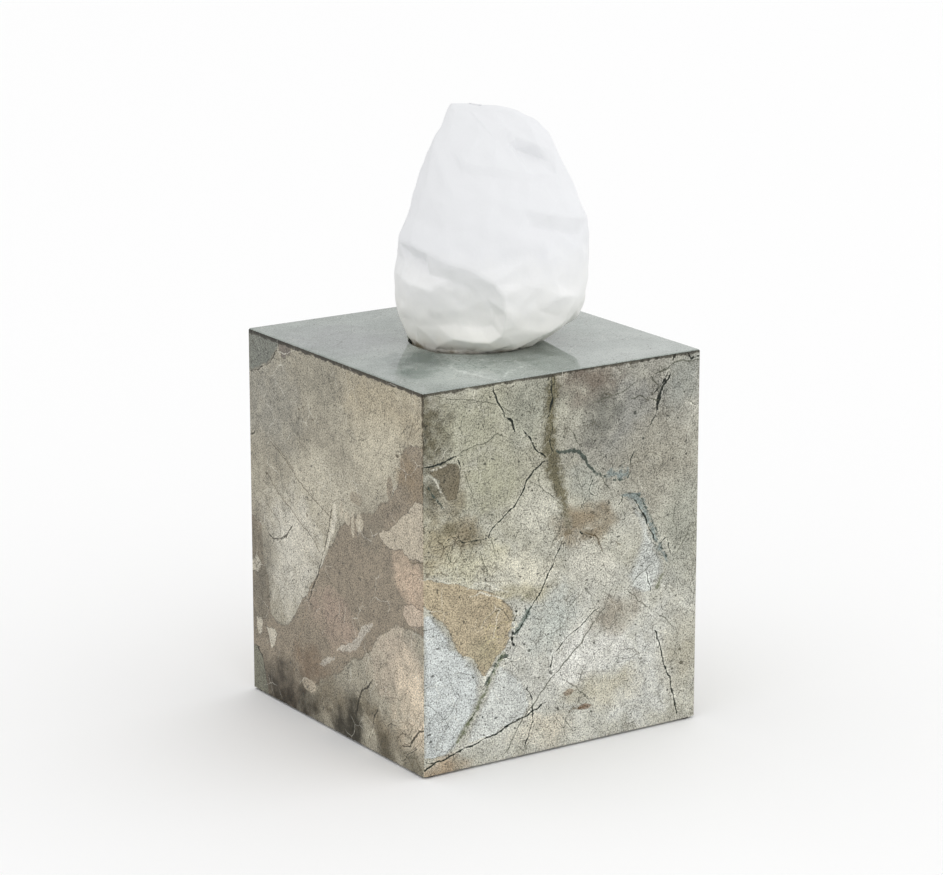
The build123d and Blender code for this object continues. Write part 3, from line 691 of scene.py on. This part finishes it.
TOP_LAYERS = [
    ("cloud", (170, 179, 172), 0.7, -34, -44, 24, 22),
    ("cloud", (160, 168, 161), 0.7, -12, -52, 18, 13),
    ("cloud", (50, 71, 62), 0.9, -35, -20, 14, 15),
    ("cloud", (84, 102, 92), 0.85, -48, -33, 12, 12),
    ("cloud", (108, 116, 108), 0.5, -4, -40, 7, 5),
    ("cloud", (104, 112, 105), 0.6, 11, -34, 8, 8),
    ("cloud", (136, 146, 139), 0.7, 40, 10, 26, 40),
    ("cloud", (146, 149, 148), 0.7, -44, 26, 26, 34),
    ("web", (78, 92, 84), 0.6, 4.5, -30, -34, 24, 20),
    ("web", (196, 203, 196), 0.4, 6.5, -22, -44, 30, 18),
    ("lines", (216, 222, 216), 0.65, 1.8, 6.0, [
        (1.6, [(-31, -32), (-34, -38), (-33.5, -46), (-31.5, -54), (-29, -66)]),
        (1.0, [(-25, -60), (-20, -55), (-12, -51), (-5, -50)]),
        (0.8, [(-24, -24), (-17, -32), (-10, -38), (-2, -47)]),
    ]),
    # Painted shadow: a dark brown band on the stone round the near left rim of the opening, where the tissue
    # meets it, for the shade and the tissue's dark reflection there.
    ("lines", (66, 60, 46), 0.85, 4.0, 3.0, [
        (2.6, [(-27, -2, 0.6), (-25.6, -8), (-22.8, -14), (-18.5, -19.6), (-13, -23.6), (-6.5, -26),
               (0, -26.8), (7, -26, 0.9), (13, -23.4, 0.6)]),
    ]),
    ("lines", (104, 112, 104), 0.6, 0.4, 0.5, [
        (0.30, [(38, -2), (42, -14), (50, -30), (58, -44), (66, -52)]),
        (0.25, [(-66, 12), (-50, 20), (-36, 33), (-24, 52), (-18, 66)]),
        (0.25, [(10, 66), (24, 48), (44, 38), (66, 30)]),
    ]),
]

# The two far slabs are cut from the same stone as the front and left ones, and stand the other way up.
cover_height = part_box("top_slab")[1][2]
TURNED_OVER = (math.pi, 0.0, math.pi / 2)
front_ground = [(172, 170, 156), (188, 187, 175)]
left_ground = [(152, 146, 130), (166, 160, 143)]
top_ground = [(140, 148, 142), (156, 163, 157)]
slab_finishes = [
    ("front_slab", "right_slab", front_ground, FRONT_LAYERS, (1, 0, 0), 0.12),
    ("left_slab", "back_slab", left_ground, LEFT_LAYERS, (0, 1, 0), 0.04),
]
for node, far_node, ground, layers, across, clasts in slab_finishes:
    stone, stone_shader = polished_stone(node + "_stone", ground, layers, across, (0, 0, 1), clasts=clasts)
    feed(stone_shader, Specular_IOR_Level=0.17)
    nodes[node].material_slots[0].material = stone
    far_stone = stone.copy()
    far_stone.name = far_node + "_stone"
    cut = far_stone.node_tree.nodes["cut"]
    cut.inputs["Location"].default_value = (0.0, 0.0, cover_height)
    cut.inputs["Rotation"].default_value = TURNED_OVER
    nodes[far_node].material_slots[0].material = far_stone
top_stone, _ = polished_stone(
    "top_slab_stone", top_ground, TOP_LAYERS, (1, 0, 0), (0, 1, 0), low=-80.0, gloss=0.03, grain=0.5
)
nodes["top_slab"].material_slots[0].material = top_stone

# Foot pads: four discs of pressed grey felt, glued under the mitred corners of the cover so that the
# stone slides on a table without a scratch.
felt, felt_shader, felt_place = new_material("pressed_felt")
fibres = felt_place.noise(0.0005, 5.0)
tufts = felt_place.noise(0.0022, 3.0)
felt_tone = (fibres * 0.6 + tufts * 0.4).ramp(
    (0.30, shade(62, 60, 56)), (0.55, shade(92, 89, 84)), (0.75, shade(120, 117, 110))
)
felt_bump = (fibres + tufts * 0.6).bump(0.6, 0.0004)
feed(felt_shader, Base_Color=felt_tone, Roughness=0.97, Specular_IOR_Level=0.15, Normal=felt_bump)
nodes["foot_pads"].material_slots[0].material = felt

# Tissue carton: one blank of white-lined board, die cut on top, folded round the stack and closed by
# glued flaps on its floor. It is coated and bare, with the board's fibres just showing.
card, card_shader, card_place = new_material("coated_card")
long_fibres = card_place.vector("MULTIPLY", (1.0, 1.0, 0.25)).noise(0.0016, 5.0)
board = card_place.noise(0.014, 3.0)
card_tone = (board * 0.6 + long_fibres * 0.4).ramp(
    (0.35, shade(224, 223, 217)), (0.65, shade(236, 235, 231))
)
card_bump = (long_fibres * 0.4 + board).bump(0.2, 0.0003)
feed(card_shader, Base_Color=card_tone, Roughness=0.42 + (long_fibres - 0.5) * 0.3, Normal=card_bump)
nodes["tissue_carton"].material_slots[0].material = card

# Slit film: clear plastic film, glued inside the carton behind the die cut, with a slit along its middle
# that grips the next tissue. It is thin enough to pucker.
film, film_shader, film_place = new_material("clear_film")
pucker = film_place.vector("MULTIPLY", (0.35, 1.0, 1.0)).noise(0.012, 4.0)
film_bump = pucker.bump(0.5, 0.0012)
feed(film_shader, Base_Color=(0.86, 0.89, 0.90, 1.0), Roughness=0.10 + pucker * 0.12, Normal=film_bump)
feed(film_shader, Alpha=0.28 + pucker * 0.25)
nodes["slit_film"].material_slots[0].material = film

# Tissue stack: interfolded two-ply tissues, bent over into an arch to stand in the upright carton.
# Their folded layers follow the arch, and show on its ends as fine lines of painted shade in the gaps between
# leaves.
stack_low, stack_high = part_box("tissue_stack")
arch_radius = (stack_high[1] - stack_low[1]) / 2
arch_centre = stack_high[2] - arch_radius
LAYER_THICKNESS = 0.0009
layered, layered_shader, layered_place = new_material("layered_tissue")
stack_depth = layered_place.part("Y")
over_centre = (layered_place.part("Z") - arch_centre).math("MAXIMUM", 0.0)
from_arch = (stack_depth * stack_depth + over_centre * over_centre).math("SQRT")
uneven = layered_place.noise(0.010, 3.0)
leaf = (from_arch * (1 / LAYER_THICKNESS) + uneven * 3.0).math("FRACT")
# Painted shade: the colour darkens in the gaps between leaves.
painted_gap_shade = (leaf - 0.5).math("ABSOLUTE") * 2.0
stack_crepe = layered_place.noise(0.0008, 3.0)
stack_tone_and_gap_shade = (painted_gap_shade * 0.8 + stack_crepe * 0.3).ramp(
    (0.55, shade(244, 243, 240)), (1.0, shade(212, 210, 204))
)
stack_bump = (stack_crepe * 0.3 - painted_gap_shade * 0.6).bump(0.4, 0.0004)
feed(layered_shader, Base_Color=stack_tone_and_gap_shade, Roughness=0.93, Specular_IOR_Level=0.2, Normal=stack_bump)
nodes["tissue_stack"].material_slots[0].material = layered

# Drawn tissue: one two-ply sheet of soft paper, pulled up through the slit and gathered at its neck.
# Its puffed plume is a sheet of flat facets with soft creases between them, read from the photograph
# as the camera sees them: across, up and proud of the round form, in millimetres.
PLUME_TURN = math.radians(-33.5)
CAMERA_TILT = math.radians(14.94)
RIM_HEIGHT = 1000 * cover_height

# Rows of the round form: height over the rim, its widths to the left and right, and its half depth.
PLUME_ROWS = [
    (-41.7, 32.0, 32.0, 5.4), (-26.7, 22.6, 22.6, 5.2), (-8.0, 24.0, 24.0, 14.4), (-1.0, 24.1, 24.1, 24.1),
    (0.5, 24.5, 24.7, 24.5), (0.9, 24.8, 28.4, 25.2), (3.0, 26.2, 33.5, 28.0), (8.3, 28.8, 41.8, 30.8),
    (15.6, 30.2, 44.6, 32.4), (23.7, 30.3, 45.7, 33.0), (31.8, 29.8, 46.2, 33.0), (39.8, 28.6, 46.4, 32.0),
    (47.9, 26.3, 45.5, 30.0), (55.9, 23.8, 42.7, 27.0), (63.9, 21.4, 39.1, 23.0), (71.9, 18.6, 35.1, 18.0),
    (79.8, 15.1, 30.8, 12.0), (83.8, 13.0, 29.6, 8.6), (87.4, 11.2, 26.4, 5.0), (91.2, 9.6, 18.9, 2.4),
    (93.2, 8.6, 11.5, 1.2), (94.2, 7.8, -1.0, 0.0),
]
# The neck lies square in the slit, and turns to face the camera on its way up to the rim.
NECK_TURNS = [(-41.7, 0.0), (-26.7, 0.0), (-8.0, 0.5), (-1.0, 1.0), (94.2, 1.0)]
OUTERMOST = 0.985


def between(rows, height):
    """The row at a height, from the rows below and above it."""
    for lower, upper in zip(rows, rows[1:]):
        if height <= upper[0]:
            break
    share = max(0.0, min(1.0, (height - lower[0]) / (upper[0] - lower[0])))
    return [low + share * (high - low) for low, high in zip(lower[1:], upper[1:])]


def on_plume(angle, height, proud):
    """A point of the plume, in metres. The angle is from the camera's right, and negative in front."""
    left, right, deep = between(PLUME_ROWS, height)
    turn = PLUME_TURN * between(NECK_TURNS, height)[0]
    across = (right - left) / 2 + ((right + left) / 2 + proud) * math.cos(angle)
    away = (deep + proud) * math.sin(angle)
    return Vector((
        across * math.cos(turn) - away * math.sin(turn),
        across * math.sin(turn) + away * math.cos(turn),
        RIM_HEIGHT + height,
    )) * 0.001


def as_seen(across, seen):
    """The angle and height of a point on the plume's near side, from where the camera sees it."""
    height = seen
    for _ in range(8):
        left, right, deep = between(PLUME_ROWS, height)
        share = (across - (right - left) / 2) / ((right + left) / 2)
        share = max(-OUTERMOST, min(OUTERMOST, share))
        height = seen + deep * math.sqrt(1 - share * share) * math.tan(CAMERA_TILT)
    return -math.acos(share), height


# Creases, and corners between them, where the camera sees them.
CREASE_LINES = [
    [(17.0, 80.2, 0.3), (24, 77.4, 2.2), (30.5, 74.2, 1.6)],
    [(14.5, 77.2, -0.6), (18.5, 74.8, -3.4), (24.5, 73.2, -3.4), (30.5, 70.4, -0.6)],
    [(-2.7, 69.5, 0.6), (9, 67.5, 0.8), (21.7, 65.2, 0.8), (33, 65, 0.4)],
    [(20, 50.6, 1.2), (30, 48.8, 1.9), (41, 48.0, 1.4)],
    [(24, 43.8, -0.6), (33, 42.2, -1.2), (42, 41.0, -1.0)],
    [(-27.6, 39.0, 0.9), (-21.1, 37.0, 2.2), (-16, 33.8, 3.1), (-6.8, 29.4, 3.8), (2.4, 25.7, 4.1),
     (8.5, 21.5, 4.1), (12.0, 16.7, 3.7), (12.8, 9.3, 2.8), (12.4, 3.0, 1.8)],
    [(-27.2, 30.6, -1.0), (-23.5, 31.2, -2.6), (-18.6, 29.4, -2.8), (-16.2, 24.6, -0.8)],
    [(-27.4, 24.6, 0.4), (-22.1, 21.3, 1.9), (-15.6, 18.6, 1.3)],
    [(-2.7, 3.4, -2.3), (3, 3.0, -2.5), (8.3, 3.8, -2.1)],
    [(-7.2, -1.2, 0.2), (1, -2.3, 1.5), (7, -2.5, 1.7), (11.5, 0.2, 1.2)],
    [(28.9, 30.4, 1.1), (31, 23, 2.0), (32.9, 16.5, 3.2)],
    [(24.6, 19.9, 1.2), (32.9, 16.5, 3.2), (39, 16.8, 2.2), (44.6, 18.0, 0.5)],
    [(22.5, -2.4, 0.9), (29, 1.7, 1.3), (35, 5.6, 0.9)],
    [(24.2, -3.6, -0.8), (30.4, 0.3, -0.9), (36.2, 4.2, -0.5)],
]
FACET_CORNERS = [
    (-9, 82, 0.0), (-14, 78.5, 0.8), (-8.5, 75.8, -0.7), (3, 82, 0.3), (9.4, 79, 0.4), (12.5, 84.5, 0.3),
    (3, 75, -0.5), (-13, 70.8, 0.6), (-4, 65.6, -0.2), (9, 63.4, -0.4), (22, 61.2, -0.2), (35, 59, 0.6),
    (-18, 59, 0.2), (-7, 56.5, 0.8), (7, 55, 1.0), (-22, 48, 0.4), (-9, 44, 1.5), (5, 42, 2.0),
    (17, 40.4, 1.6), (28, 37.4, 1.0), (40, 35.5, 0.9), (20, 30, 1.6), (-8, 22.5, 0.5), (0, 18.6, 0.4),
    (6.2, 15, 0.0), (-25, 13, -0.6), (-16.5, 11.6, -1.0), (-6.5, 12, -1.5), (2.5, 10, -1.8),
    (9.4, 7.6, -1.6), (-23, 4.8, -1.8), (-14.5, 3.5, -2.2), (-8, 4.6, -2.2), (-17, -0.5, -1.4),
    (18.5, 21, 1.3), (18.5, 12, 1.0), (18.5, 3, 0.6), (25.6, 10.4, -0.2), (33.5, 8.8, 0.1),
    (41, 10.8, 0.1), (16, -3.0, 1.2),
]

# Corners at the two sides by height and proud, round the ridge by height and count, round the base by angle,
# height and proud, and round the neck by height, start and depth of its pleats.
SIDE_CORNERS = [
    (8.3, 0.2), (16, 0.4), (25, -0.2), (33, 0.3), (41, 0.0), (49, 0.3), (57, -0.2), (66, 0.2), (75, 0.0),
    (83, 0.2),
]
RIDGE_CORNERS = [(88.6, 10), (91.6, 10), (93.3, 10), (94.2, 10)]
BASE_CORNERS = [
    (-78, 1.4, 1.4), (-60, 1.4, 2.6), (-42, 1.4, 1.8), (-22, 1.6, 0.4), (-100, 1.6, -1.0), (-125, 1.8, -0.6),
    (-150, 1.8, -0.7), (-172, 1.8, 0.2),
]
NECK_CORNERS = [(-41.7, 0.0, 0.6), (-26.7, 0.5, 0.6), (-8.0, 0.0, 1.1), (-1.0, 0.5, 0.4), (0.5, 0.0, 0.1)]
NECK_PLEATS = 16
TUCK = 1.0
TUCK_ANGLE = math.radians(-129)
TUCK_BOTTOM = -2.0
FACET_STEPS = 9
ROUNDNESS = 0.25
BACK_STRENGTH = 0.8
UNROLLED_RADIUS = 30.0
UNROLLED_REACH = 1.4 * math.pi
WELD = 0.00002
CRUMPLE = 0.0012
PAPER_THICKNESS = 0.0003

# The far side gets the near side's creases and corners, a little flatter.
corners = []
creases = []
for line in CREASE_LINES + [[corner] for corner in FACET_CORNERS]:
    for side, strength in ((0.0, 1.0), (math.pi, BACK_STRENGTH)):
        creases += [(len(corners) + step, len(corners) + step + 1) for step in range(len(line) - 1)]
        for across, seen, proud in line:
            angle, height = as_seen(across, seen)
            corners.append((angle + side, height, strength * proud))
for height, proud in SIDE_CORNERS:
    corners.append((0.0, height, proud))
    corners.append((-math.pi, height + 2.0, -proud))
for height, count in RIDGE_CORNERS:
    for step in range(count):
        corners.append((2 * math.pi * step / count - math.pi, height, 0.0))
for degrees, height, proud in BASE_CORNERS:
    corners.append((math.radians(degrees), height, proud))
for height, start, pleat in NECK_CORNERS:
    for step in range(2 * NECK_PLEATS):
        angle = math.pi * (step + start) / NECK_PLEATS - math.pi
        tuck = TUCK * max(0.0, math.cos(angle - TUCK_ANGLE)) ** 3 if height > TUCK_BOTTOM else 0.0
        corners.append((angle, height, -tuck - pleat * (step % 2)))

# The form is unrolled with a lap at each end, and cut into triangles that keep every crease as an edge.
unrolled = []
edges = []
for turn in (-2 * math.pi, 0.0, 2 * math.pi):
    order = {}
    for index, (angle, height, proud) in enumerate(corners):
        if abs(angle + turn) < UNROLLED_REACH:
            order[index] = len(unrolled)
            unrolled.append((angle + turn, height, proud))
    edges += [(order[first], order[last]) for first, last in creases if first in order and last in order]
flat_points = [Vector((UNROLLED_RADIUS * angle, height)) for angle, height, _ in unrolled]
_, _, triangles, origins, _, _ = geometry.delaunay_2d_cdt(flat_points, edges, [], 0, 0.001)

# Each triangle becomes a facet of small faces, rounded a little, and the whole sheet is then crumpled.
plume_mesh = bpy.data.meshes.new("gathered_tissue")
sheet = bmesh.new()
for triangle in triangles:
    facet = [unrolled[origins[corner][0]] for corner in triangle]
    middle = sum(angle for angle, _, _ in facet) / 3
    if not -math.pi <= middle < math.pi:
        continue
    grid = {}
    for first in range(FACET_STEPS + 1):
        for second in range(FACET_STEPS + 1 - first):
            weights = (first, second, FACET_STEPS - first - second)
            flat = Vector((0.0, 0.0, 0.0))
            place = [0.0, 0.0, 0.0]
            for weight, corner in zip(weights, facet):
                flat += on_plume(*corner) * (weight / FACET_STEPS)
                place = [total + part * weight / FACET_STEPS for total, part in zip(place, corner)]
            grid[first, second] = sheet.verts.new(flat.lerp(on_plume(*place), ROUNDNESS))
    for first in range(FACET_STEPS):
        for second in range(FACET_STEPS - first):
            right, above = grid[first + 1, second], grid[first, second + 1]
            sheet.faces.new((grid[first, second], right, above))
            if first + second < FACET_STEPS - 1:
                sheet.faces.new((right, grid[first + 1, second + 1], above))
bmesh.ops.remove_doubles(sheet, verts=sheet.verts, dist=WELD)
bmesh.ops.recalc_face_normals(sheet, faces=sheet.faces)
sheet.normal_update()
for point in sheet.verts:
    above_rim = min(1.0, max(0.0, (point.co.z * 1000 - RIM_HEIGHT - 3.0) / 10.0))
    crumple = noise.noise(point.co * 75) * 0.5 + noise.noise(point.co * 170) * 0.35
    ridge = 0.5 - abs(noise.noise(point.co * 110 + Vector((3.0, 7.0, 1.0))))
    point.co += point.normal * (above_rim * (crumple + ridge * 0.5) * CRUMPLE)
sheet.to_mesh(plume_mesh)
sheet.free()
tissue = bpy.data.objects.new("gathered_tissue", plume_mesh)
bpy.context.scene.collection.objects.link(tissue)
bpy.ops.object.select_all(action="DESELECT")
tissue.select_set(True)
bpy.context.view_layer.objects.active = tissue
softened = tissue.modifiers.new("creases", "SMOOTH")
softened.factor = 0.5
softened.iterations = 1
bpy.ops.object.modifier_apply(modifier="creases")
paper = tissue.modifiers.new("paper", "SOLIDIFY")
paper.thickness = PAPER_THICKNESS
paper.offset = -1.0
bpy.ops.object.modifier_apply(modifier="paper")
bpy.ops.object.shade_smooth()

# The paper's colour is painted by height: a cool white at the top, a brighter warm white lower down that
# offsets the shade there as painted light, and tan at its foot in the opening as a painted shadow.
PAINTED_LIGHT_LEVEL = 5.3
PAINTED_LIGHT_FALL = 28.0
tissue_white_painted_light, tissue_shader, tissue_place = new_material("tissue_white_painted_light")
crepe = tissue_place.noise(0.0007, 3.0)
cockle = tissue_place.noise(0.006, 3.0)
height_for_painted_light = PAINTED_LIGHT_LEVEL - tissue_place.part("Z") * PAINTED_LIGHT_FALL
# Painted light and shade by height: darker at the top, lighter lower down, and a painted tan shadow at the
# foot.
paper_tone_and_painted_light = ((height_for_painted_light + cockle * 0.3) * 0.8).ramp(
    (0.0, shade(230, 231, 233)), (0.45, shade(242, 242, 241)), (0.8, shade(250, 249, 244)),
    (0.92, shade(244, 241, 232)), (0.98, shade(160, 150, 130))
)
paper_bump = (crepe * 0.2 + cockle).bump(0.30, 0.0006)
feed(tissue_shader, Base_Color=paper_tone_and_painted_light, Roughness=0.92, Specular_IOR_Level=0.2, Normal=paper_bump)
plume_mesh.materials.append(tissue_white_painted_light)
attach(tissue, "root")
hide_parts("drawn_tissue")

# Studio: a pale floor in a white tent, which is brighter above and to the camera's right and dimmer behind
# on its left, and the camera where the photograph was taken.
FLOOR_SIZE = 16.0
CAMERA_PLACE = (-0.760011, -1.146271, 0.479172)
LOOKING_DOWN = 14.941
LOOKING_RIGHT = 33.546
LENS = 135.68
bpy.ops.object.select_all(action="DESELECT")
bpy.ops.mesh.primitive_plane_add(size=FLOOR_SIZE, location=(0, 0, 0))
floor = bpy.context.object
floor.name = "floor"
floor_white, floor_shader, _ = new_material("floor_white")
feed(floor_shader, Base_Color=(0.93, 0.93, 0.93, 1.0), Roughness=0.9)
floor.data.materials.append(floor_white)

world = bpy.data.worlds.new("studio")
bpy.context.scene.world = world
world.use_nodes = True
tent = world.node_tree.nodes["Background"]
ray = Wire(world.node_tree.nodes.new("ShaderNodeTexCoord").outputs["Generated"])
bright_side = ray.vector("DOT_PRODUCT", (0.64, -0.42, 0.52), "Value")
leftward = ray.vector("DOT_PRODUCT", (-0.833, 0.553, 0.0), "Value")
backward = ray.vector("DOT_PRODUCT", (0.553, 0.833, 0.0), "Value")
dim_left = (leftward + 0.05).math("MULTIPLY", 7.0, clamp=True)
dim_back = (backward - 0.5).math("MULTIPLY", 4.0, clamp=True)
feed(tent, Color=(1.0, 1.0, 1.0, 1.0), Strength=bright_side * 0.22 + 1.02 - dim_left * dim_back * 0.46)
bpy.context.scene.view_settings.view_transform = "Standard"

camera_data = bpy.data.cameras.new("camera")
camera_data.sensor_width = 36.0
camera_data.lens = LENS
camera = bpy.data.objects.new("camera", camera_data)
camera.location = CAMERA_PLACE
camera.rotation_euler = (math.radians(90 - LOOKING_DOWN), 0.0, math.radians(-LOOKING_RIGHT))
bpy.context.scene.collection.objects.link(camera)
bpy.context.scene.camera = camera
